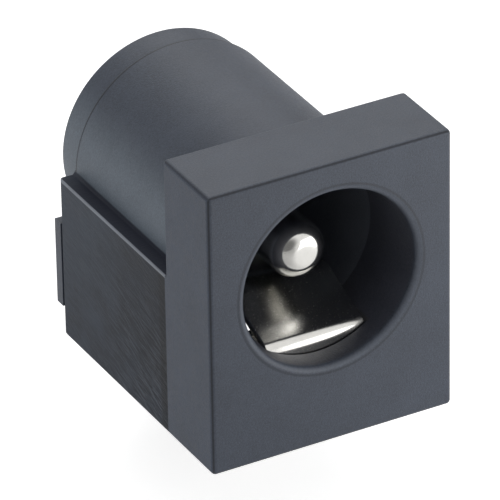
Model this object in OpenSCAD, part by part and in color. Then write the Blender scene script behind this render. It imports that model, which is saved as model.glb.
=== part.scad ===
// Right-angle DC barrel jack for a printed circuit board, in millimetres.
// X runs across the width, Y from the front face to the rear, Z up from the board.
// Origin: on the board seat, under the plug axis, in the plane of the front face.

/* [Flange] */

// width of the front flange and of the base
flange_w = 9; // [8.8:0.1:9.4]
// height of the front flange above the board
flange_h = 10.4; // [10.2:0.1:11]
// depth of the front flange
flange_d = 3.05; // [2.9:0.05:3.5]
// rounding of the outer edges of flange and base
edge_r = 0.16; // [0.12:0.02:0.2]

/* [Barrel] */

// height of the plug axis above the board
axis_h = 6.1; // [6:0.05:6.3]
// bore that takes the plug
bore_d = 6.4; // [6.3:0.1:6.5]
// rounding where the bore meets the front face
lip_r = 0.22; // [0.15:0.01:0.25]
// outside of the barrel behind the flange
barrel_d = 7.8; // [7.7:0.1:7.9]
// front face to the rear end of the moulded body
body_l = 10.5; // [10.3:0.1:11]
// rounding of the barrel's rear rim
rim_r = 0.1; // [0.05:0.01:0.12]

/* [Base] */

// flat shoulders beside the barrel above the board
shoulder_z = 6.05; // [5.9:0.05:6.2]
// fillet where barrel and shoulder meet
root_r = 0.15; // [0.1:0.01:0.2]

/* [Rear cap] */

// diameter of the round part of the rear cap
cap_d = 7.5; // [7.3:0.02:7.6]
// thickness of the round part of the rear cap
cap_l = 1.2; // [1.15:0.05:1.4]
// rounding of the cap's rear edge
cap_edge = 0.08; // [0.05:0.01:0.15]
// thickness of the cross plate under the round part
plate_l = 0.5; // [0.45:0.01:0.55]
// underside of the cross plate above the board
plate_z0 = 1.1; // [0.95:0.05:1.2]
// top of the cross plate above the board
plate_z1 = 4.3; // [4.1:0.05:4.4]
// length of the spigot that closes the bore
spigot_l = 0.6; // [0.5:0.05:0.7]

/* [Centre pin] */

// diameter of the centre pin
pin_d = 2; // [1.9:0.05:2]
// tip of the pin behind the front face
pin_recess = 1.75; // [1.7:0.05:2]
// rounding of the pin's nose
nose_r = 0.7; // [0.6:0.05:0.75]
// shank that passes through cap and terminal
shank_d = 1.4; // [1.3:0.1:1.5]
// height of the riveted head
rivet_h = 0.2; // [0.15:0.05:0.22]

/* [Contacts] */

// strip thickness of spring and switch contact
strip_t = 0.3; // [0.25:0.05:0.3]
// width of the spring leaf
leaf_w = 3.7; // [3.5:0.1:3.7]
// front of the spring's riser behind the front face
leaf_y = 1.05; // [1.05:0.05:1.2]
// height of the spring's top front bend centre
leaf_z = 3.15; // [3.1:0.05:3.2]
// slope of the leaf's ramp in degrees
ramp_a = 22; // [20:0.5:23]
// length of the leaf's ramp
ramp_l = 2.05; // [1.8:0.05:2.2]
// inside radius of the strip's bends
bend_r = 0.15; // [0.15:0.05:0.2]
// top of the spring's base strip above the board
base_z = 1.1; // [1:0.05:1.2]
// sheet thickness of the rear terminal
term_t = 0.4; // [0.35:0.05:0.4]
// width of the rear terminal
term_w = 2.1; // [2:0.1:2.2]
// top of the rear terminal above the plug axis
term_rise = 1.3; // [1.2:0.05:1.4]
// length of the solder tails under the board seat
tail_l = 3.5; // [3:0.1:3.8]
// width of the solder tails
tail_w = 1.6; // [1.4:0.1:1.6]

/* [Hidden] */
bore_r = bore_d / 2;
barrel_r = barrel_d / 2;
cap_r = cap_d / 2;
pin_r = pin_d / 2;
half_w = flange_w / 2;
fit_gap = 0.03;                       // clearance between assembled pieces
slot_gap = 0.1;                       // clearance of the slots round the contacts
cut = 1;                              // how far a cut runs past the face it opens
spigot_y = body_l - spigot_l;         // front of the spigot, where the pin's shoulder sits
plate_y = body_l + plate_l;           // rear of the cross plate
cap_y = body_l + cap_l;               // rear of the whole cap
root_z = shoulder_z + root_r - 0.01;  // centre of the fillet's arc, sunk a little into both faces
root_x = sqrt(pow(barrel_r + root_r - 0.01, 2) - pow(root_z - axis_h, 2));
term_y = plate_y + term_t;            // rear of the terminal sheet
slot_y0 = leaf_y - 0.05;              // front end of the spring slot
slot_x = leaf_w / 2 + slot_gap;       // half width of the spring slot
wing_x = leaf_w / 2 + 0.35;           // half width of the base strip's wings
wing_y0 = 2;
wing_y1 = 5.6;
bend_o = bend_r + strip_t;            // outside radius of the strip's bends
pad_z = 3;                            // top of the leaf's free end, underside of the switch arm
pad_y = 8.8;                          // free end of the leaf
slot_y1 = pad_y + 0.4;                // rear end of the spring slot
arch_r = 1.5;                         // outside radius of the leaf's hump
fall_a = 22;                          // slope of the leaf behind the hump
arm_x0 = 1.2;                         // inner end of the switch arm
arm_y = 8.35;                         // middle of the switch contact
arm_w = 0.8;
blade_w = 1.2;
blade_z = 2.4;                        // top of the blade behind the switch arm
switch_w = 1;                         // width of the switch contact's tail
pocket_x = 3.7;                       // outer wall of the switch pocket
tip_h = 0.6;                          // taper at the end of each solder tail
foot_r = 0.7;                         // bend where the leaf levels out at its free end
tail_y = 6.25;                        // rear face of the spring's solder tail

$fn = 64;

// cylinder along +Y on the plug axis
module bar_y(y0, y1, r) {
  translate([0, y0, axis_h]) rotate([-90, 0, 0]) cylinder(h = y1 - y0, r = r);
}

// cylinder on the plug axis with its rear rim rounded
module rimmed_bar(y0, y1, r, rim) {
  bar_y(y0, y1 - rim, r);
  bar_y(y0, y1, r - rim);
  translate([0, y1 - rim, axis_h]) rotate([-90, 0, 0]) rotate_extrude($fn = 96)
    translate([r - rim, 0]) intersection() { circle(rim, $fn = 32); square(rim); }
}

// rectangle from its lower left corner, with rounded corners
module round_rect(w, h, r) {
  translate([r, 0]) square([w - 2 * r, h]);
  translate([0, r]) square([w, h - 2 * r]);
  for (x = [r, w - r], y = [r, h - r]) translate([x, y]) circle(r, $fn = 32);
}

// block centred on X, with all edges rounded
module round_block(w, y0, y1, z0, z1, r) {
  intersection() {
    translate([-w / 2, y0, z0]) linear_extrude(z1 - z0) round_rect(w, y1 - y0, r);
    translate([-w / 2, y1, z0]) rotate([90, 0, 0]) linear_extrude(y1 - y0) round_rect(w, z1 - z0, r);
    translate([-w / 2, y0, z0]) rotate([90, 0, 90]) linear_extrude(w) round_rect(y1 - y0, z1 - z0, r);
  }
}

// rounded mouth of the bore, as the solid to take away
module bore_lip() {
  translate([0, 0, axis_h]) rotate([-90, 0, 0]) rotate_extrude($fn = 96) difference() {
    translate([bore_r - 0.1, -0.1]) square([lip_r + 0.1, lip_r + 0.1]);
    translate([bore_r + lip_r, lip_r]) circle(lip_r, $fn = 32);
  }
}

// fillet between barrel and shoulder on the +X side
module root_fillet() {
  translate([0, body_l, 0]) rotate([90, 0, 0]) linear_extrude(body_l - flange_d + 0.1) difference() {
    translate([barrel_r - 0.4, shoulder_z - 0.1])
      square([root_x - barrel_r + 0.4, root_z - shoulder_z + 0.1]);
    translate([root_x, root_z]) circle(root_r, $fn = 48);
  }
}

// flange, barrel and base in one moulding
module housing() {
  color("#4b4f59") difference() {
    union() {
      round_block(flange_w, 0, flange_d, 0, flange_h, edge_r);
      rimmed_bar(flange_d - 0.5, body_l, barrel_r, rim_r);
      intersection() {
        round_block(flange_w, flange_d - 3 * edge_r, body_l, 0, shoulder_z + cut, edge_r);
        translate([-half_w, 0, 0]) cube([flange_w, body_l, shoulder_z]);
      }
      for (m = [0, 1]) mirror([m, 0, 0]) root_fillet();
    }
    bar_y(-cut, body_l + cut, bore_r);
    bore_lip();
    // slot for the leaf, from the bore to the underside
    translate([-slot_x, slot_y0, -cut]) cube([2 * slot_x, slot_y1 - slot_y0, axis_h - cut]);
    // wider seat for the wings of the base strip
    translate([-wing_x, wing_y0 - slot_gap, -cut])
      cube([2 * wing_x, wing_y1 - wing_y0 + 2 * slot_gap, base_z + cut]);
    // pocket for the switch contact
    translate([0, arm_y - blade_w / 2 - slot_gap, -cut])
      cube([pocket_x, blade_w + 2 * slot_gap, pad_z + strip_t + cut]);
  }
}

// round cap with a cross plate and a spigot in the bore
module rear_cap() {
  color("#565a63") difference() {
    union() {
      bar_y(spigot_y, body_l + 0.2, bore_r - fit_gap);
      rimmed_bar(body_l, cap_y, cap_r, cap_edge);
      translate([-half_w, body_l, plate_z0]) cube([flange_w, plate_l, plate_z1 - plate_z0]);
    }
    bar_y(spigot_y - cut, cap_y + cut, shank_d / 2 + fit_gap);
    // channel for the terminal
    translate([-term_w / 2 - slot_gap, plate_y, -cut])
      cube([term_w + 2 * slot_gap, cap_l, axis_h + term_rise + slot_gap + cut]);
  }
}

// turned pin with a round nose, riveted behind the terminal
module centre_pin() {
  color("#c9cbcd") {
    bar_y(pin_recess + nose_r, spigot_y, pin_r);
    bar_y(pin_recess, pin_recess + nose_r + 0.1, pin_r - nose_r);
    translate([0, pin_recess + nose_r, axis_h]) rotate([90, 0, 0]) rotate_extrude($fn = 96)
      translate([pin_r - nose_r, 0]) intersection() { circle(nose_r, $fn = 48); square(nose_r); }
    bar_y(spigot_y - 0.5, term_y + 0.1, shank_d / 2);
    bar_y(term_y, term_y + rivet_h, pin_r);
  }
}

// flat blade with a solder tail, front view outline
module tail_outline(w, z_top, w_top, z_step) {
  polygon([[-w_top / 2, z_top], [w_top / 2, z_top], [w_top / 2, z_step], [w / 2, z_step],
    [w / 2, tip_h - tail_l], [w / 4, -tail_l], [-w / 4, -tail_l], [-w / 2, tip_h - tail_l],
    [-w / 2, z_step], [-w_top / 2, z_step]]);
}

// rear terminal of the centre pin
module pin_terminal() {
  color("#c3c4c2") difference() {
    translate([0, term_y, 0]) rotate([90, 0, 0]) linear_extrude(term_t)
      tail_outline(tail_w, axis_h + term_rise, term_w, 0);
    bar_y(plate_y - cut, term_y + cut, shank_d / 2 + fit_gap);
  }
}

// points of an arc from one angle to another
function arc(c, r, a0, a1, n) =
  [for (i = [0 : n]) let (a = a0 + (a1 - a0) * i / n) c + r * [cos(a), sin(a)]];

c_low = [leaf_y + bend_o, base_z - strip_t + bend_o];
c_top = [leaf_y + bend_o, leaf_z];
q_ramp = c_top + bend_o * [-sin(ramp_a), cos(ramp_a)] + ramp_l * [cos(ramp_a), sin(ramp_a)];
c_arch = q_ramp + arch_r * [sin(ramp_a), -cos(ramp_a)];
p_fall = c_arch + arch_r * [sin(fall_a), cos(fall_a)];
c_foot_z = pad_z + foot_r;
fall_l = (p_fall[1] - c_foot_z + foot_r * cos(fall_a)) / sin(fall_a);
c_foot = [p_fall[0] + fall_l * cos(fall_a) + foot_r * sin(fall_a), c_foot_z];

// one bent strip in side view: base, riser, ramp, hump, fall and free end
module leaf_profile() {
  polygon(concat(
    [[wing_y0 + 0.2, base_z - strip_t]],
    arc(c_low, bend_o, 270, 180, 8),
    arc(c_top, bend_o, 180, 90 + ramp_a, 8),
    arc(c_arch, arch_r, 90 + ramp_a, 90 - fall_a, 10),
    arc(c_foot, foot_r, 270 - fall_a, 270, 4),
    [[pad_y, pad_z], [pad_y, pad_z - strip_t]],
    arc(c_foot, foot_r + strip_t, 270, 270 - fall_a, 4),
    arc(c_arch, arch_r - strip_t, 90 - fall_a, 90 + ramp_a, 10),
    arc(c_top, bend_r, 90 + ramp_a, 180, 8),
    arc(c_low, bend_r, 180, 270, 8),
    [[wing_y0 + 0.2, base_z]]));
}

// strip that turns down from a level run, in side view: end of the run, top height, foot height
module down_profile(x0, x1, z1, z0) {
  c = [x1 - bend_o, z1 - bend_o];
  polygon(concat([[x0, z1]], arc(c, bend_o, 90, 0, 8), [[x1, z0], [x1 - strip_t, z0]],
    arc(c, bend_r, 0, 90, 8), [[x0, z1 - strip_t]]));
}

// bent strip: solder tail, base with wings, riser and sprung leaf
module sleeve_spring() {
  color("#cfcfca") {
    translate([-leaf_w / 2, 0, 0]) rotate([90, 0, 90]) linear_extrude(leaf_w) leaf_profile();
    translate([-wing_x, wing_y0, base_z - strip_t]) cube([2 * wing_x, wing_y1 - wing_y0, strip_t]);
    translate([-tail_w / 2, 0, 0]) rotate([90, 0, 90]) linear_extrude(tail_w)
      down_profile(wing_y1 - 0.2, tail_y, base_z, -1);
    translate([0, tail_y, 0]) rotate([90, 0, 0]) linear_extrude(strip_t)
      tail_outline(tail_w, 0.3, tail_w, 0);
  }
}

// fixed contact above the leaf's free end, with its own solder tail
module switch_contact() {
  color("#c8c7c0") {
    translate([0, arm_y + arm_w / 2, 0]) rotate([90, 0, 0]) linear_extrude(arm_w)
      down_profile(arm_x0, pocket_x, pad_z + strip_t, 2);
    translate([pocket_x - strip_t, arm_y, 0]) rotate([90, 0, 90]) linear_extrude(strip_t)
      tail_outline(switch_w, blade_z, blade_w, 0);
  }
}

housing();
rear_cap();
centre_pin();
pin_terminal();
sleeve_spring();
switch_contact();
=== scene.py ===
import math

import bmesh
import bpy
from mathutils import Matrix, Vector


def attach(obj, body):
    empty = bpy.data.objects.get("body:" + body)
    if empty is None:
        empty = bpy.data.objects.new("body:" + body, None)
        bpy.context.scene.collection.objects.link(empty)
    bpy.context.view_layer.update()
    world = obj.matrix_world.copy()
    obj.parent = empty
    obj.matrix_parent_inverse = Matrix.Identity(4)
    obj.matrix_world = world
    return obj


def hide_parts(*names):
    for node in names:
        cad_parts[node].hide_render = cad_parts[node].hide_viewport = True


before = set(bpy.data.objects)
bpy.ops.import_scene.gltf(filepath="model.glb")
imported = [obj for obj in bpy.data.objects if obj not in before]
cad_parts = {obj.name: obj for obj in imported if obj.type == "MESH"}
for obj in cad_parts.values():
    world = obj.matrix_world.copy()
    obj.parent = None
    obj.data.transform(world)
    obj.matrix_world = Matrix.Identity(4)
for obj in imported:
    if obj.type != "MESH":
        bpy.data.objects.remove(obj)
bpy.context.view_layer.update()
mm = 0.001
print("frame loaded:", ", ".join(sorted(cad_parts)))


# node helpers

class Signal:  # a number that varies over a surface; arithmetic on it adds Math nodes
    def __init__(self, nodes, socket):
        self.nodes, self.socket = nodes, socket

    def math(self, operation, *others, clamp=False, swap=False):
        values = [self, *others]
        if swap:
            values.reverse()
        made = self.nodes.add("ShaderNodeMath", {"operation": operation, "use_clamp": clamp}, dict(enumerate(values)))
        return Signal(self.nodes, made.outputs[0])

    def __add__(self, other):
        return self.math("ADD", other)

    def __sub__(self, other):
        return self.math("SUBTRACT", other)

    def __rsub__(self, other):
        return self.math("SUBTRACT", other, swap=True)

    def __mul__(self, other):
        return self.math("MULTIPLY", other)

    def __truediv__(self, other):
        return self.math("DIVIDE", other)

    def __rtruediv__(self, other):
        return self.math("DIVIDE", other, swap=True)

    def __abs__(self):
        return self.math("ABSOLUTE")

    __radd__ = __add__
    __rmul__ = __mul__

    def least(self, other):
        return self.math("MINIMUM", other)

    def most(self, other):
        return self.math("MAXIMUM", other)

    def ramp(self, start, end, low=0.0, high=1.0):  # smooth step from low to high
        made = self.nodes.add("ShaderNodeMapRange", {"interpolation_type": "SMOOTHSTEP"},
                              {"Value": self, "From Min": start, "From Max": end, "To Min": low, "To Max": high})
        return Signal(self.nodes, made.outputs[0])


class Nodes:  # adds nodes to one tree; a value is a number, a tuple, a socket or a Signal
    def __init__(self, tree):
        self.tree = tree

    def add(self, kind, settings=None, values=None):
        node = self.tree.nodes.new(kind)
        for name, setting in (settings or {}).items():
            if name == "stops":
                self.setStops(node.color_ramp, setting)
            else:
                setattr(node, name, setting)
        for key, value in (values or {}).items():
            self.feed(node.inputs[key], value)
        return node

    def feed(self, socket, value):
        source = value.socket if isinstance(value, Signal) else value
        if isinstance(source, bpy.types.NodeSocket):
            self.tree.links.new(source, socket)
        else:
            socket.default_value = source

    def setStops(self, ramp, stops):
        while len(ramp.elements) > 1:
            ramp.elements.remove(ramp.elements[-1])
        for i, (place, colour) in enumerate(stops):
            stop = ramp.elements[0] if i == 0 else ramp.elements.new(place)
            stop.position = place
            stop.color = (*colour, 1)

    def signal(self, kind, settings=None, values=None, out=0):
        return Signal(self, self.add(kind, settings, values).outputs[out])

    def noise(self, vector, scale, detail=2.0, roughness=0.5, distortion=0.0):
        return self.signal("ShaderNodeTexNoise", {"noise_dimensions": "3D"},
                           {"Vector": vector, "Scale": scale, "Detail": detail, "Roughness": roughness,
                            "Distortion": distortion})

    def mixColour(self, factor, first, second, blend="MIX"):
        made = self.add("ShaderNodeMix", {"data_type": "RGBA", "blend_type": blend}, {0: factor, 6: first, 7: second})
        return made.outputs[2]

    def stretch(self, vector, scale=(1, 1, 1), turn=(0, 0, 0), move=(0, 0, 0)):
        made = self.add("ShaderNodeMapping", {"vector_type": "POINT"},
                        {"Vector": vector, "Scale": scale, "Rotation": turn, "Location": move})
        return made.outputs[0]


def newMaterial(name):
    material = bpy.data.materials.new(name)
    material.use_nodes = True
    material.node_tree.nodes.clear()
    nodes = Nodes(material.node_tree)
    shader = nodes.add("ShaderNodeBsdfPrincipled")
    nodes.output = nodes.add("ShaderNodeOutputMaterial", values={"Surface": shader.outputs[0]})
    where = nodes.add("ShaderNodeTexCoord").outputs["Object"]
    inMm = nodes.stretch(where, scale=(1 / mm,) * 3)
    split = nodes.add("ShaderNodeSeparateXYZ", values={0: inMm})
    x, y, z = (Signal(nodes, socket) for socket in split.outputs)
    return material, nodes, shader, inMm, x, y, z


# housing sizes in mm, and the materials

housing = {
    "width": 9.0, "height": 10.4, "flangeDepth": 3.05, "edgeRound": 0.16,
    "axis": 6.1, "bore": 3.2, "lip": 0.22, "barrel": 3.9, "rear": 10.5,
    "shoulder": 6.05, "rootRound": 0.15, "rimRound": 0.1,
    "slot": (1.95, 1.0, 9.2), "wings": (2.2, 1.9, 5.7, 1.1), "pocket": (3.7, 7.65, 9.05, 3.3),
    "softEdge": 0.05,
}

plasticLook = {
    "dark": (0.038, 0.046, 0.064),
    "light": (0.068, 0.082, 0.112),
    # painted sheen: lighter tones for the lower sides of the barrel and the cap
    "paintedSheenDark": (0.115, 0.142, 0.176),
    "paintedSheenLight": (0.172, 0.208, 0.250),
    "wallDark": (0.006, 0.010, 0.021),
    "wallLight": (0.048, 0.060, 0.082),
    # painted shade colour for the flat wall tops beside the barrel
    "shoulder": (0.020, 0.023, 0.036),
    "edgeShade": (0.22, 0.23, 0.27),
    "sideShade": (0.58, 0.68, 0.82),
    "boreShade": (0.8, 0.72, 0.72),
    "stepShade": (0.45, 0.45, 0.45),
    # darkening tint for the front part of the side walls
    "frontWallDarkening": (0.35, 0.35, 0.38),
    "wallGloss": 0.1,
    # light tone for rubbed wear on the wall rims, also used as painted highlight on the mouth's lip
    "rubbedAndLitEdge": (0.34, 0.37, 0.42),
    "scratch": (0.10, 0.118, 0.145),
    "roughness": 0.5,
    "wallRoughness": 0.42,
    "grainHeight": 0.012 * mm,
    "scratchAngles": (math.radians(8), math.radians(24)),
}


def shaded(nodes, colour, mask, tint):  # multiplies a colour by a tint where the mask is one
    return nodes.mixColour(mask, colour, (*tint, 1), "MULTIPLY")


def mouldedGrain(nodes, place):  # cloudy tone and fine spark-eroded grain of a moulded face
    cloud = nodes.noise(place, 0.55, 3, 0.55)
    mottle = nodes.noise(place, 4.5, 4, 0.6)
    grain = nodes.noise(place, 15, 3, 0.7)
    return mottle, grain, (cloud * 0.4 + mottle * 0.35 + grain * 0.95 - 0.35).ramp(0.2, 0.8)


def fromAxis(nodes, place):  # distance from the plug axis in mm
    flat = nodes.stretch(place, scale=(1, 0, 1), move=(0, 0, -housing["axis"]))
    return nodes.signal("ShaderNodeVectorMath", {"operation": "LENGTH"}, {0: flat}, out=1)


def cornerShade(first, second):  # one along the middle of a rounded edge between two faces
    return first.ramp(0.42, 0.64) * second.ramp(0.42, 0.64)


def housingPlastic():
    look, form = plasticLook, housing
    material, nodes, shader, place, x, y, z = newMaterial("mattHousingPlastic")
    mottle, grain, tone = mouldedGrain(nodes, place)
    body = nodes.mixColour(tone, (*look["dark"], 1), (*look["light"], 1))

    # painted sheen: the barrel's lower sides behind the flange are lighter
    sheenMask = y.ramp(form["flangeDepth"], form["flangeDepth"] + 0.05) * (1 - z.ramp(7.2, 9.0))
    body = nodes.mixColour(sheenMask * 0.85, body, nodes.mixColour(tone, (*look["paintedSheenDark"], 1), (*look["paintedSheenLight"], 1)))

    # painted shade along the flange roundings and a fine painted dark ring round the mouth; the same tint draws the
    # dark joint line just ahead of the barrel's rear rim
    edge = form["edgeRound"]
    sideEdge = (abs(x) - (form["width"] / 2 - edge)) / edge
    topEdge = abs(z - form["height"] / 2) / edge - (form["height"] / 2 - edge) / edge
    frontEdge = (edge - y) / edge
    shade = cornerShade(sideEdge, frontEdge).most(cornerShade(topEdge, frontEdge))
    shade = shade.most(cornerShade(sideEdge, topEdge) * 0.6)
    span = fromAxis(nodes, place)
    mouth = form["bore"] + form["lip"]
    ring = (1 - (abs(span - mouth - 0.04) / 0.07)).ramp(0, 0.8) * (1 - y.ramp(0.02, 0.1))
    litLipBand = (1 - abs(span - mouth + 0.12) / 0.1).ramp(0, 0.8) * (1 - y.ramp(0.2, 0.3))
    # painted shade: the flange's side faces are darkened with a bluish tint
    body = shaded(nodes, body, sideEdge.ramp(0.5, 0.9), look["sideShade"])
    joint = y.ramp(form["rear"] - 0.17, form["rear"] - 0.12) * z.ramp(form["shoulder"], form["shoulder"] + 0.2)
    body = shaded(nodes, body, shade.most(ring * 0.6).most(joint), look["edgeShade"])
    # painted shade inside the bore behind the mouth
    inside = y.ramp(0.1, 0.35) * (1 - span.ramp(form["bore"] + 0.05, form["bore"] + 0.2))
    body = shaded(nodes, body, inside, look["boreShade"])
    # painted highlight: a faint light band on the rounded lip of the mouth
    body = nodes.mixColour(litLipBand * 0.12, body, (*look["rubbedAndLitEdge"], 1))

    # smooth dark base behind the flange, with slanting drag marks on its walls
    behind = y.ramp(form["flangeDepth"] - 0.02, form["flangeDepth"] + 0.04)
    base = behind * (1 - z.ramp(form["shoulder"] + 0.06, form["shoulder"] + 0.16)) * span.ramp(3.4, 3.6)
    smear = nodes.noise(nodes.stretch(place, scale=(1, 0.9, 0.8), move=(3, 1, 2)), 0.9, 4, 0.6)
    flow = 0
    marks = None
    for i, angle in enumerate(look["scratchAngles"]):
        turned = nodes.stretch(place, turn=(-angle, 0, 0), move=(i, i, 0))
        drag = nodes.noise(nodes.stretch(turned, scale=(1, 0.9, 11)), 1.4, 3, 0.6, 0.3)
        line = nodes.noise(nodes.stretch(turned, scale=(1, 0.7, 19)), 1.3, 2, 0.5, 0.25).ramp(0.54, 0.64)
        flow = drag * 0.5 + flow
        marks = line if marks is None else marks.most(line)
    worn = (1 - y.ramp(3.4, 8.5)) * (1 - z.ramp(1.5, 5.8)) * 0.75 + 0.25
    # the wall tone also grows lighter towards the top and the rear
    wallTone = (smear * 0.9 + (flow - 0.5) * worn * 2 + z * 0.05 + y * 0.03 - 0.32).ramp(0.1, 0.85)
    wall = nodes.mixColour(wallTone, (*look["wallDark"], 1), (*look["wallLight"], 1))
    # darker towards the front of the wall, above its lowest strip
    wall = shaded(nodes, wall, (1 - y.ramp(4.6, 8.2)) * z.ramp(0.6, 2.6) * 0.75, look["frontWallDarkening"])
    wall = nodes.mixColour(marks * worn * 0.65, wall, (*look["scratch"], 1))
    # painted shade on the wall just behind the flange
    wall = shaded(nodes, wall, 1 - y.ramp(form["flangeDepth"] + 0.32, form["flangeDepth"] + 0.55), look["stepShade"])
    # painted shade on the flat tops of the walls beside the barrel, fading a little towards the rear
    shadedShoulderTop = z.ramp(form["shoulder"] - 0.05, form["shoulder"] - 0.02) * (1 - y.ramp(form["rear"] - 1.4, form["rear"]) * 0.5)
    wall = nodes.mixColour(shadedShoulderTop, wall, (*look["shoulder"], 1))
    # light line along the outer top edge of the side walls, partly rubbed wear and partly painted highlight
    outer = abs(x).ramp(form["width"] / 2 - 0.07, form["width"] / 2 - 0.04)
    rim = outer * z.ramp(form["shoulder"] - 0.1, form["shoulder"] - 0.06)
    wall = nodes.mixColour(rim * (smear * 0.4 + 0.6), wall, (*look["rubbedAndLitEdge"], 1))
    wallShader = nodes.add("ShaderNodeBsdfPrincipled", values={
        "Base Color": wall, "Roughness": look["wallRoughness"] + (smear - 0.5) * 0.2,
        "Specular IOR Level": look["wallGloss"]})
    scored = nodes.add("ShaderNodeBump", values={
        "Height": grain * 0.2 + marks * worn * 0.7, "Strength": 0.8, "Distance": look["grainHeight"]})
    nodes.feed(wallShader.inputs["Normal"], scored.outputs[0])

    nodes.feed(shader.inputs["Base Color"], body)
    nodes.feed(shader.inputs["Roughness"], look["roughness"] + (mottle - 0.5) * 0.2)
    bump = nodes.add("ShaderNodeBump", values={
        "Height": grain + nodes.noise(place, 30, 2, 0.5) * 0.6, "Strength": 0.8, "Distance": look["grainHeight"]})
    nodes.feed(shader.inputs["Normal"], bump.outputs[0])
    both = nodes.add("ShaderNodeMixShader", values={0: base, 1: shader.outputs[0], 2: wallShader.outputs[0]})
    nodes.feed(nodes.output.inputs["Surface"], both.outputs[0])
    return material


def capPlastic():
    look = plasticLook
    material, nodes, shader, place, x, y, z = newMaterial("mattCapPlastic")
    mottle, grain, tone = mouldedGrain(nodes, nodes.stretch(place, move=(5, 5, 5)))
    body = nodes.mixColour(tone, (*look["dark"], 1), (*look["light"], 1))
    # painted sheen on the cap's lower sides, kept off its plate and rear face
    paintedSheen = nodes.mixColour(tone, (*look["paintedSheenDark"], 1), (*look["paintedSheenLight"], 1))
    sheenMask = (1 - z.ramp(7.2, 9.0)) * (1 - fromAxis(nodes, place).ramp(3.78, 3.86)) * (1 - y.ramp(11.55, 11.66))
    nodes.feed(shader.inputs["Base Color"], nodes.mixColour(sheenMask * 0.9, body, paintedSheen))
    nodes.feed(shader.inputs["Roughness"], look["roughness"] + (mottle - 0.5) * 0.2)
    height = grain + nodes.noise(place, 30, 2, 0.5) * 0.6
    bump = nodes.add("ShaderNodeBump", values={"Height": height, "Strength": 0.8, "Distance": look["grainHeight"]})
    nodes.feed(shader.inputs["Normal"], bump.outputs[0])
    return material


platingLook = {
    "nickel": (0.72, 0.71, 0.68),
    "nickelDark": (0.56, 0.55, 0.52),
    "tin": (0.66, 0.65, 0.62),
    "tinDark": (0.46, 0.45, 0.42),
}


def plating(name, light, dark, roughness, grainScale, grainDirection):
    material, nodes, shader, place, x, y, z = newMaterial(name)
    shader.inputs["Metallic"].default_value = 1
    streak = nodes.noise(nodes.stretch(place, scale=grainDirection), grainScale, 3, 0.6)
    cloud = nodes.noise(place, 1.4, 4, 0.6)
    spots = nodes.noise(place, 22, 2, 0.5).ramp(0.62, 0.75)
    nodes.feed(shader.inputs["Base Color"],
               nodes.mixColour((cloud * 0.7 + spots * 0.4).ramp(0.3, 0.85), (*light, 1), (*dark, 1)))
    nodes.feed(shader.inputs["Roughness"], roughness + (cloud - 0.5) * 0.1 + spots * 0.12 + (streak - 0.5) * 0.06)
    height = streak * 0.8 + cloud * 0.3
    bump = nodes.add("ShaderNodeBump", values={"Height": height, "Strength": 0.35, "Distance": 0.002 * mm})
    nodes.feed(shader.inputs["Normal"], bump.outputs[0])
    return material


materials = {
    "housing": housingPlastic(),
    "cap": capPlastic(),
    "pin": plating("polishedPinNickel", platingLook["nickel"], platingLook["nickelDark"], 0.14, 3, (1, 12, 1)),
    "spring": plating("rolledSpringNickel", platingLook["nickel"], platingLook["nickelDark"], 0.2, 3, (9, 1, 1)),
    "terminal": plating("dullTerminalTin", platingLook["tin"], platingLook["tinDark"], 0.34, 3, (7, 7, 1)),
    "switch": plating("dullSwitchTin", platingLook["tin"], platingLook["tinDark"], 0.3, 3, (7, 7, 1)),
}
print("materials made:", len(materials))


# mesh helpers, sizes in mm

def newObject(name, mesh):
    made = bpy.data.objects.new(name, mesh)
    bpy.context.scene.collection.objects.link(made)
    return made


def fromBmesh(name, work):
    mesh = bpy.data.meshes.new(name)
    bmesh.ops.recalc_face_normals(work, faces=work.faces)
    work.to_mesh(mesh)
    work.free()
    return newObject(name, mesh)


def block(low, high, rounding=0.0, steps=5):
    work = bmesh.new()
    size = Vector(high) - Vector(low)
    centre = (Vector(high) + Vector(low)) / 2
    bmesh.ops.create_cube(work, size=1, matrix=Matrix.LocRotScale(centre * mm, None, size * mm))
    if rounding:
        bmesh.ops.bevel(work, geom=list(work.edges), offset=rounding * mm, offset_type="OFFSET", segments=steps,
                        profile=0.5, affect="EDGES", clamp_overlap=True)
    return fromBmesh("block", work)


def bar(radius, y0, y1, height, sides=160):  # cylinder along Y
    work = bmesh.new()
    turn = Matrix.Rotation(math.radians(-90), 4, "X") @ Matrix.Rotation(math.pi / sides, 4, "Z")
    place = Matrix.Translation(Vector((0, (y0 + y1) / 2, height)) * mm)
    bmesh.ops.create_cone(work, cap_ends=True, segments=sides, radius1=radius * mm, radius2=radius * mm,
                          depth=(y1 - y0) * mm, matrix=place @ turn)
    return fromBmesh("bar", work)


def prism(corners, start, end, across="x"):  # outline in the XZ or YZ plane, drawn out along the third axis
    work = bmesh.new()
    ends = [[work.verts.new(Vector((a, depth, b) if across == "x" else (depth, a, b)) * mm) for a, b in corners]
            for depth in (start, end)]
    work.faces.new(ends[0])
    work.faces.new(reversed(ends[1]))
    for i in range(len(corners)):
        j = (i + 1) % len(corners)
        work.faces.new([ends[0][j], ends[0][i], ends[1][i], ends[1][j]])
    return fromBmesh("prism", work)


def arcPoints(centre, radius, start, end, count):
    turns = [math.radians(start + (end - start) * i / count) for i in range(count + 1)]
    return [(centre[0] + radius * math.cos(a), centre[1] + radius * math.sin(a)) for a in turns]


def combine(target, other, operation):
    step = target.modifiers.new("combine", "BOOLEAN")
    step.object, step.operation, step.solver = other, operation, "EXACT"
    applyModifiers(target)
    bpy.data.objects.remove(other)
    return target


def applyModifiers(piece):
    bpy.context.view_layer.update()
    graph = bpy.context.evaluated_depsgraph_get()
    mesh = bpy.data.meshes.new_from_object(piece.evaluated_get(graph))
    piece.modifiers.clear()
    piece.data = mesh


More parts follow.
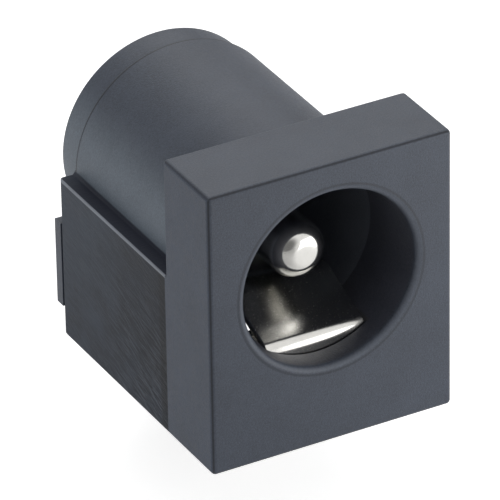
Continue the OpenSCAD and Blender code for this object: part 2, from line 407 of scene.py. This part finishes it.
def softenEdges(piece, width, steps, sharpest=40, merge=0.02, chosen=None):
    work = bmesh.new()
    work.from_mesh(piece.data)
    bmesh.ops.remove_doubles(work, verts=work.verts, dist=merge * mm)
    bmesh.ops.dissolve_limit(work, angle_limit=math.radians(0.6), verts=work.verts, edges=work.edges)
    edges = [e for e in work.edges if len(e.link_faces) == 2 and e.is_convex
             and e.calc_face_angle(0) > math.radians(sharpest) and (chosen is None or chosen(e))]
    bmesh.ops.bevel(work, geom=edges, offset=width * mm, offset_type="OFFSET", segments=steps, profile=0.5,
                    affect="EDGES", clamp_overlap=True)
    work.to_mesh(piece.data)
    work.free()


def finishPiece(piece, name, material, slot, *nodes):
    mesh = piece.data
    piece.name = mesh.name = name
    mesh.materials.clear()
    mesh.materials.append(material)
    mesh.shade_smooth()
    mesh.set_sharp_from_angle(angle=math.radians(38))
    weigh = piece.modifiers.new("flatFaces", "WEIGHTED_NORMAL")
    weigh.keep_sharp = True
    applyModifiers(piece)
    piece.data.name = name
    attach(piece, "root")
    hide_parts(*nodes)
    print(name, "has", len(piece.data.polygons), "faces")
    return piece


# housing

def makeHousing():
    s = housing
    half = s["width"] / 2
    body = block((-half, 0, 0), (half, s["flangeDepth"], s["height"]), s["edgeRound"])
    base = block((-half, s["flangeDepth"] - 3 * s["edgeRound"], 0), (half, s["rear"], s["shoulder"] + 1), s["edgeRound"])
    combine(base, block((-5, 0, s["shoulder"]), (5, 12, 9)), "DIFFERENCE")
    combine(body, base, "UNION")
    barrel = bar(s["barrel"], s["flangeDepth"] - 0.5, s["rear"], s["axis"])
    softenEdges(barrel, s["rimRound"], 4, chosen=lambda e: all(v.co.y > (s["rear"] - 0.01) * mm for v in e.verts))
    combine(body, barrel, "UNION")
    rootZ = s["shoulder"] + s["rootRound"] - 0.01
    rootX = math.sqrt((s["barrel"] + s["rootRound"] - 0.01) ** 2 - (rootZ - s["axis"]) ** 2)
    hollow = arcPoints((rootX, rootZ), s["rootRound"], 180, 270, 8)
    for side in (-1, 1):
        corners = [(s["barrel"] - 0.4, rootZ), *hollow, (rootX, s["shoulder"] - 0.1), (s["barrel"] - 0.4, s["shoulder"] - 0.1)]
        combine(body, prism([(side * x, z) for x, z in corners], s["flangeDepth"] - 0.1, s["rear"]), "UNION")
    combine(body, bar(s["bore"], -1, s["rear"] + 1, s["axis"]), "DIFFERENCE")
    slotX, slotFront, slotRear = s["slot"]
    combine(body, block((-slotX, slotFront, -1), (slotX, slotRear, s["axis"] - 2)), "DIFFERENCE")
    wingX, wingFront, wingRear, wingTop = s["wings"]
    combine(body, block((-wingX, wingFront, -1), (wingX, wingRear, wingTop)), "DIFFERENCE")
    pocketX, pocketFront, pocketRear, pocketTop = s["pocket"]
    combine(body, block((0, pocketFront, -1), (pocketX, pocketRear, pocketTop)), "DIFFERENCE")

    def atMouth(edge):
        return all(v.co.y < 0.01 * mm and abs(math.hypot(v.co.x, v.co.z - s["axis"] * mm) - s["bore"] * mm) < 0.03 * mm
                   for v in edge.verts)
    softenEdges(body, s["lip"], 7, chosen=atMouth)
    softenEdges(body, s["softEdge"], 2, chosen=lambda e: not any(v.co.y < 0.3 * mm for v in e.verts))
    return finishPiece(body, "socketHousing", materials["housing"], "housing_plastic", "housing")


makeHousing()


# rear cap

cap = {
    "radius": 3.75, "front": 10.5, "rear": 11.7, "round": 0.08, "spigot": 3.17, "spigotFront": 9.9,
    "plate": (4.5, 10.5, 11.0, 1.1, 4.3), "hole": 0.73, "channel": (1.15, 11.0, 8.5), "softEdge": 0.06,
}


def makeCap():
    s, axis = cap, housing["axis"]
    body = bar(s["radius"], s["front"], s["rear"], axis)
    softenEdges(body, s["round"], 6, chosen=lambda e: all(v.co.y > (s["rear"] - 0.01) * mm for v in e.verts))
    halfPlate, plateFront, plateRear, plateLow, plateHigh = s["plate"]
    plate = block((-halfPlate, plateFront, plateLow), (halfPlate, plateRear, plateHigh))
    softenEdges(plate, 0.09, 3, chosen=lambda e: all(v.co.y > (plateRear - 0.01) * mm for v in e.verts))
    combine(body, plate, "UNION")
    combine(body, bar(s["spigot"], s["spigotFront"], s["front"] + 0.1, axis), "UNION")
    combine(body, bar(s["hole"], 9, 12, axis, 64), "DIFFERENCE")
    channelX, channelFront, channelTop = s["channel"]
    combine(body, block((-channelX, channelFront, -1), (channelX, 13, channelTop)), "DIFFERENCE")
    softenEdges(body, s["softEdge"] * 0.6, 2, chosen=lambda e: all(abs(v.co.x) < 1.2 * mm for v in e.verts))
    return finishPiece(body, "rearCapMoulding", materials["cap"], "cap_plastic", "rear_cap")


makeCap()


# turned and bent metal, from node trees

def geometryTree(name, sizes):
    tree = bpy.data.node_groups.new(name, "GeometryNodeTree")
    tree.is_modifier = True
    tree.interface.new_socket("Geometry", in_out="INPUT", socket_type="NodeSocketGeometry")
    for label, kind in sizes.items():
        tree.interface.new_socket(label, in_out="INPUT", socket_type=kind)
    tree.interface.new_socket("Geometry", in_out="OUTPUT", socket_type="NodeSocketGeometry")
    nodes = Nodes(tree)
    return tree, nodes, nodes.add("NodeGroupInput"), nodes.add("NodeGroupOutput")


def runTree(piece, tree, values):
    step = piece.modifiers.new(tree.name, "NODES")
    step.node_group = tree
    for socket in tree.interface.items_tree:
        if socket.in_out == "INPUT" and socket.name in values:
            step[socket.identifier] = values[socket.name]
    applyModifiers(piece)


def outline(name, points, **attributes):  # open chain of points in the XY plane, in mm
    mesh = bpy.data.meshes.new(name)
    mesh.from_pydata([(x * mm, y * mm, 0) for x, y in points], [(i, i + 1) for i in range(len(points) - 1)], [])
    for label, values in attributes.items():
        mesh.attributes.new(label, "FLOAT", "POINT").data.foreach_set("value", [v * mm for v in values])
    return newObject(name, mesh)


def turnedTree():
    # outline in the XY plane, X along the axis and Y the radius, turned about the axis
    tree, nodes, given, out = geometryTree("turnedPart", {
        "Sides": "NodeSocketInt", "Axis Height": "NodeSocketFloat", "Material": "NodeSocketMaterial"})
    hub = 1 * mm
    rail = nodes.add("GeometryNodeCurvePrimitiveCircle", {"mode": "RADIUS"}, {"Resolution": given.outputs["Sides"], "Radius": hub})
    chain = nodes.add("GeometryNodeMeshToCurve", values={"Mesh": given.outputs["Geometry"]})
    turnedPoint = nodes.add("GeometryNodeInputPosition")
    split = nodes.add("ShaderNodeSeparateXYZ", values={0: turnedPoint.outputs[0]})
    inward = nodes.add("ShaderNodeMath", {"operation": "SUBTRACT"}, {0: split.outputs[1], 1: hub})
    join = nodes.add("ShaderNodeCombineXYZ", values={0: inward.outputs[0], 1: split.outputs[0]})
    laid = nodes.add("GeometryNodeSetPosition", values={"Geometry": chain.outputs[0], "Position": join.outputs[0]})
    swept = nodes.add("GeometryNodeCurveToMesh", values={"Curve": rail.outputs[0], "Profile Curve": laid.outputs[0]})
    welded = nodes.add("GeometryNodeMergeByDistance", values={"Geometry": swept.outputs[0], "Distance": 0.0005 * mm})
    lift = nodes.add("ShaderNodeCombineXYZ", values={2: given.outputs["Axis Height"]})
    placed = nodes.add("GeometryNodeTransform", values={
        "Geometry": welded.outputs[0], "Translation": lift.outputs[0], "Rotation": (math.radians(90), 0, 0)})
    real = nodes.add("GeometryNodeRealizeInstances", values={"Geometry": placed.outputs[0]})
    painted = nodes.add("GeometryNodeSetMaterial", values={"Geometry": real.outputs[0], "Material": given.outputs["Material"]})
    nodes.feed(out.inputs[0], painted.outputs[0])
    return tree


def stripTree():
    # centre line in the XY plane with a bend radius at each corner, swept to a strip and stood up
    tree, nodes, given, out = geometryTree("bentStrip", {
        "Width": "NodeSocketFloat", "Thickness": "NodeSocketFloat", "Edge Round": "NodeSocketFloat",
        "Middle": "NodeSocketFloat", "Turn": "NodeSocketRotation", "Material": "NodeSocketMaterial"})
    chain = nodes.add("GeometryNodeMeshToCurve", values={"Mesh": given.outputs["Geometry"]})
    bend = nodes.add("GeometryNodeInputNamedAttribute", {"data_type": "FLOAT"}, {"Name": "bend"})
    bent = nodes.add("GeometryNodeFilletCurve", values={"Curve": chain.outputs[0], "Radius": bend.outputs[0]})
    bent.mode = "POLY"
    bent.inputs["Count"].default_value = 12
    section = nodes.add("GeometryNodeCurvePrimitiveQuadrilateral", {"mode": "RECTANGLE"},
                        {"Width": given.outputs["Thickness"], "Height": given.outputs["Width"]})
    soft = nodes.add("GeometryNodeFilletCurve", values={"Curve": section.outputs[0], "Radius": given.outputs["Edge Round"]})
    soft.mode = "POLY"
    soft.inputs["Count"].default_value = 3
    swept = nodes.add("GeometryNodeCurveToMesh", values={"Curve": bent.outputs[0], "Profile Curve": soft.outputs[0], "Fill Caps": True})
    side = nodes.add("ShaderNodeCombineXYZ", values={0: given.outputs["Middle"]})
    placed = nodes.add("GeometryNodeTransform", values={
        "Geometry": swept.outputs[0], "Translation": side.outputs[0], "Rotation": given.outputs["Turn"]})
    real = nodes.add("GeometryNodeRealizeInstances", values={"Geometry": placed.outputs[0]})
    painted = nodes.add("GeometryNodeSetMaterial", values={"Geometry": real.outputs[0], "Material": given.outputs["Material"]})
    nodes.feed(out.inputs[0], painted.outputs[0])
    return tree


turned, strip = turnedTree(), stripTree()
sideOn = (math.radians(90), 0, math.radians(90))  # XY plane to YZ plane

pin = {
    "radius": 1.0, "tip": 1.75, "nose": 0.7, "shoulder": 9.9, "shank": 0.7,
    "head": 1.0, "headFront": 11.4, "headRear": 11.6, "sides": 96,
}


def makePin():
    s = pin
    flat = s["radius"] - s["nose"]
    points = [(s["tip"], 0), (s["tip"], flat * 0.5)]
    points += arcPoints((s["tip"] + s["nose"], flat), s["nose"], 180, 90, 20)
    points += [(s["shoulder"] - 0.04, s["radius"]), (s["shoulder"], s["radius"] - 0.04), (s["shoulder"], s["shank"]),
               (s["headFront"], s["shank"]), (s["headFront"], s["head"] - 0.03)]
    rise = s["headRear"] - s["headFront"]
    points += arcPoints((s["headFront"] + 0.05, s["head"] - 0.05), 0.05, 90, 60, 3)
    points += [(s["headFront"] + rise * (1 - t * t), s["head"] * t) for t in (0.9, 0.8, 0.65, 0.5, 0.35, 0.2, 0.08, 0)]
    piece = outline("centrePin", points)
    runTree(piece, turned, {"Sides": s["sides"], "Axis Height": housing["axis"] * mm, "Material": materials["pin"]})
    return finishPiece(piece, "nickelCentrePin", materials["pin"], "pin_plating", "centre_pin")


makePin()


leaf = {
    "width": 3.7, "thick": 0.3, "edge": 0.05, "base": 0.95, "baseRear": 2.4, "riser": 1.2, "bend": 0.3,
    "topCentre": (1.5, 3.15), "slope": 22, "ramp": 2.05, "hump": 1.35, "humpOutside": 1.5,
    "foot": 0.85, "end": 8.8, "endHeight": 2.85,
    "wings": (2.2, 2.0, 5.6), "tail": (1.6, 6.1, -3.5),
}


def meet(p, pAngle, q, qAngle):  # where two lines in the plane cross
    (px, py), (qx, qy) = p, q
    ux, uy = math.cos(math.radians(pAngle)), math.sin(math.radians(pAngle))
    vx, vy = math.cos(math.radians(qAngle)), math.sin(math.radians(qAngle))
    t = ((qx - px) * vy - (qy - py) * vx) / (ux * vy - uy * vx)
    return px + ux * t, py + uy * t


def makeStrip(points, bends, width, middle=0.0, turn=sideOn, thick=0.3, edge=0.05, material="spring"):
    piece = outline("strip", points, bend=bends)
    runTree(piece, strip, {"Width": width * mm, "Thickness": thick * mm, "Edge Round": edge * mm,
                           "Middle": middle * mm, "Turn": turn, "Material": materials[material]})
    return piece


def makeSpring():
    s = leaf
    a = math.radians(s["slope"])
    onRamp = (s["topCentre"][0] - s["bend"] * math.sin(a), s["topCentre"][1] + s["bend"] * math.cos(a))
    outside = s["bend"] + s["thick"] / 2
    humpStart = (s["topCentre"][0] - outside * math.sin(a) + s["ramp"] * math.cos(a),
                 s["topCentre"][1] + outside * math.cos(a) + s["ramp"] * math.sin(a))
    humpCentre = (humpStart[0] + s["humpOutside"] * math.sin(a), humpStart[1] - s["humpOutside"] * math.cos(a))
    onFall = (humpCentre[0] + s["hump"] * math.sin(a), humpCentre[1] + s["hump"] * math.cos(a))
    riser = (s["riser"], s["base"])
    points = [
        (s["baseRear"], s["base"]),
        riser,
        meet(riser, 90, onRamp, s["slope"]),
        meet(onRamp, s["slope"], onFall, -s["slope"]),
        meet(onFall, -s["slope"], (s["end"], s["endHeight"]), 180),
        (s["end"], s["endHeight"]),
    ]
    piece = makeStrip(points, [0, s["bend"], s["bend"], s["hump"], s["foot"], 0], s["width"])
    wingX, wingFront, wingRear = s["wings"]
    base = block((-wingX, wingFront, s["base"] - 0.15), (wingX, wingRear, s["base"] + 0.15), 0.04, 2)
    combine(piece, base, "UNION")
    tailWidth, tailY, tailLow = s["tail"]
    tail = makeStrip([(wingRear - 0.3, s["base"]), (tailY, s["base"]), (tailY, tailLow)], [0, s["bend"], 0], tailWidth)
    trimTail(tail, tailWidth, 0, tailLow, "x")
    combine(piece, tail, "UNION")
    return finishPiece(piece, "sleeveSpring", materials["spring"], "spring_plating", "sleeve_spring")


def trimTail(tail, width, middle, low, across, taper=0.6):
    # cuts the two corners off the end of a solder tail
    for side in (-1, 1):
        inner, outer = middle + side * width / 4, middle + side * width / 2
        corners = [(inner, low), (outer, low + taper), (outer + side, low + taper), (outer + side, low - 1), (inner, low - 1)]
        combine(tail, prism(corners, -20, 20, across), "DIFFERENCE")


makeSpring()


rearTerminal = {"width": 2.1, "tail": 1.6, "top": 7.4, "front": 11.0, "rear": 11.4, "low": -3.5}


def makeTerminal():
    s = rearTerminal
    piece = block((-s["tail"] / 2, s["front"], s["low"]), (s["tail"] / 2, s["rear"], 0.5), 0.05, 3)
    trimTail(piece, s["tail"], 0, s["low"], "x")
    upper = block((-s["width"] / 2, s["front"], 0), (s["width"] / 2, s["rear"], s["top"]), 0.05, 3)
    combine(piece, upper, "UNION")
    combine(piece, bar(0.73, 10, 12, housing["axis"], 64), "DIFFERENCE")
    return finishPiece(piece, "pinTerminal", materials["terminal"], "terminal_plating", "pin_terminal")


makeTerminal()


switchContact = {"arm": (1.2, 3.55, 3.15), "middle": 8.35, "armWidth": 0.8, "blade": (1.2, 2.4), "tail": 1.0, "low": -3.5}


def makeSwitch():
    s = switchContact
    armStart, legX, armZ = s["arm"]
    flatOn = (math.radians(90), 0, 0)
    piece = makeStrip([(armStart, armZ), (legX, armZ), (legX, 1.0)], [0, 0.3, 0], s["armWidth"], turn=flatOn, material="switch")
    shift(piece, (0, s["middle"], 0))
    bladeWidth, bladeTop = s["blade"]
    blade = block((legX - 0.15, s["middle"] - bladeWidth / 2, 0), (legX + 0.15, s["middle"] + bladeWidth / 2, bladeTop), 0.04, 2)
    combine(piece, blade, "UNION")
    tail = block((legX - 0.15, s["middle"] - s["tail"] / 2, s["low"]), (legX + 0.15, s["middle"] + s["tail"] / 2, 0.3), 0.04, 2)
    trimTail(tail, s["tail"], s["middle"], s["low"], "y")
    combine(piece, tail, "UNION")
    return finishPiece(piece, "switchContact", materials["switch"], "contact_plating", "switch_contact")


def shift(piece, by):
    piece.data.transform(Matrix.Translation(Vector(by) * mm))


makeSwitch()
print("pieces made")


# camera, floor and light

viewFrom = {"azimuth": -28.445, "elevation": 30.187, "roll": -0.999, "across": 2.740, "up": -6.244, "distance": 209.46,
            "lens": 459.32}


def makeCamera():
    s = viewFrom
    az, el, roll = (math.radians(s[k]) for k in ("azimuth", "elevation", "roll"))
    back = Vector((math.sin(az) * math.cos(el), -math.cos(az) * math.cos(el), math.sin(el)))
    right = Vector((math.cos(az), math.sin(az), 0))
    up = back.cross(right)
    right, up = right * math.cos(roll) + up * math.sin(roll), up * math.cos(roll) - right * math.sin(roll)
    spot = (right * -s["across"] - up * s["up"] + back * s["distance"]) * mm
    camera = bpy.data.objects.new("camera", bpy.data.cameras.new("camera"))
    bpy.context.scene.collection.objects.link(camera)
    camera.data.sensor_width, camera.data.lens = 36, s["lens"]
    camera.data.clip_start, camera.data.clip_end = 0.01, 10
    camera.matrix_world = Matrix((
        (right.x, up.x, back.x, spot.x),
        (right.y, up.y, back.y, spot.y),
        (right.z, up.z, back.z, spot.z),
        (0, 0, 0, 1)))
    bpy.context.scene.camera = camera
    return camera


makeCamera()

studio = {
    "floorHeight": -3.5, "floorSize": 900, "floorColour": 0.82, "floorLift": 0.7, "floorGleam": 0.35,
    "skyLevel": 0.6,
    "skyGaps": [
        {"towards": (-0.5, 0.76, 0.41), "reach": (34, 10), "dim": 0.75},
        {"towards": (0.66, 0.75, 0.05), "reach": (28, 8), "dim": 0.65},
        {"towards": (-0.5, -0.84, 0.25), "reach": (42, 14), "dim": 0.8},
    ],
    "lamps": {
        "backTop": {"at": (70, 120, 160), "size": 120, "watts": 0.09},
        "left": {"at": (-190, -10, 70), "size": 110, "watts": 0.03},
        "frontRight": {"at": (20, -22, 2), "size": 30, "watts": 0.005},
    },
}


def makeFloor():
    s = studio
    half = s["floorSize"] / 2 * mm
    work = bmesh.new()
    bmesh.ops.create_grid(work, x_segments=1, y_segments=1, size=half,
                          matrix=Matrix.Translation((0, 0, s["floorHeight"] * mm)))
    floor = fromBmesh("paleFloor", work)
    material = bpy.data.materials.new("paleFloor")
    material.use_nodes = True
    material.node_tree.nodes.clear()
    nodes = Nodes(material.node_tree)
    place = nodes.stretch(nodes.add("ShaderNodeTexCoord").outputs["Object"], scale=(1 / mm,) * 3)
    fibre = nodes.noise(place, 0.6, 3, 0.6)
    level = s["floorColour"]
    paper = nodes.add("ShaderNodeBsdfDiffuse", values={
        "Color": nodes.mixColour(fibre, (level, level, level, 1), (level * 1.02,) * 3 + (1,))})
    rays = nodes.add("ShaderNodeLightPath")
    camera, glossy = (Signal(nodes, rays.outputs[k]) for k in ("Is Camera Ray", "Is Glossy Ray"))
    split = nodes.add("ShaderNodeSeparateXYZ", values={0: place})
    x, y = (Signal(nodes, split.outputs[k]) for k in range(2))
    dimCorner = (1 - x.ramp(-4, 10)) * (1 - y.ramp(-9, -1))
    lift = camera * s["floorLift"] + glossy * (1 - dimCorner) * s["floorGleam"]
    glow = nodes.add("ShaderNodeEmission", values={"Color": (1, 1, 1, 1), "Strength": lift})
    both = nodes.add("ShaderNodeAddShader", values={0: paper.outputs[0], 1: glow.outputs[0]})
    nodes.add("ShaderNodeOutputMaterial", values={"Surface": both.outputs[0]})
    floor.data.materials.append(material)


def makeSky():
    world = bpy.data.worlds.new("studioSky")
    bpy.context.scene.world = world
    world.use_nodes = True
    world.node_tree.nodes.clear()
    nodes = Nodes(world.node_tree)
    rays = nodes.add("ShaderNodeLightPath")
    camera, glossy, through = (Signal(nodes, rays.outputs[k]) for k in ("Is Camera Ray", "Is Glossy Ray", "Is Transmission Ray"))
    seen = camera.most(glossy).most(through)
    level = seen * (1 - studio["skyLevel"]) + studio["skyLevel"]
    outward = nodes.add("ShaderNodeTexCoord").outputs["Generated"]
    for gap in studio["skyGaps"]:
        near = nodes.signal("ShaderNodeVectorMath", {"operation": "DOT_PRODUCT"}, {
            0: outward, 1: Vector(gap["towards"]).normalized()}, out=1)
        level = level * (1 - near.ramp(*(math.cos(math.radians(a)) for a in gap["reach"])) * gap["dim"])
    sky = nodes.add("ShaderNodeBackground", values={"Color": (1, 1, 1, 1), "Strength": level})
    nodes.add("ShaderNodeOutputWorld", values={"Surface": sky.outputs[0]})


def makeLamps():
    for name, s in studio["lamps"].items():
        lamp = bpy.data.lights.new(name, "AREA")
        lamp.shape, lamp.size, lamp.energy = "SQUARE", s["size"] * mm, s["watts"]
        holder = bpy.data.objects.new(name, lamp)
        bpy.context.scene.collection.objects.link(holder)
        holder.visible_camera = False
        holder.location = Vector(s["at"]) * mm
        holder.rotation_euler = (Vector((0, 5, 5)) * mm - holder.location).to_track_quat("-Z", "Y").to_euler()


makeFloor()
makeSky()
makeLamps()
bpy.context.scene.view_settings.view_transform = "Standard"
print("stage, light and camera set")
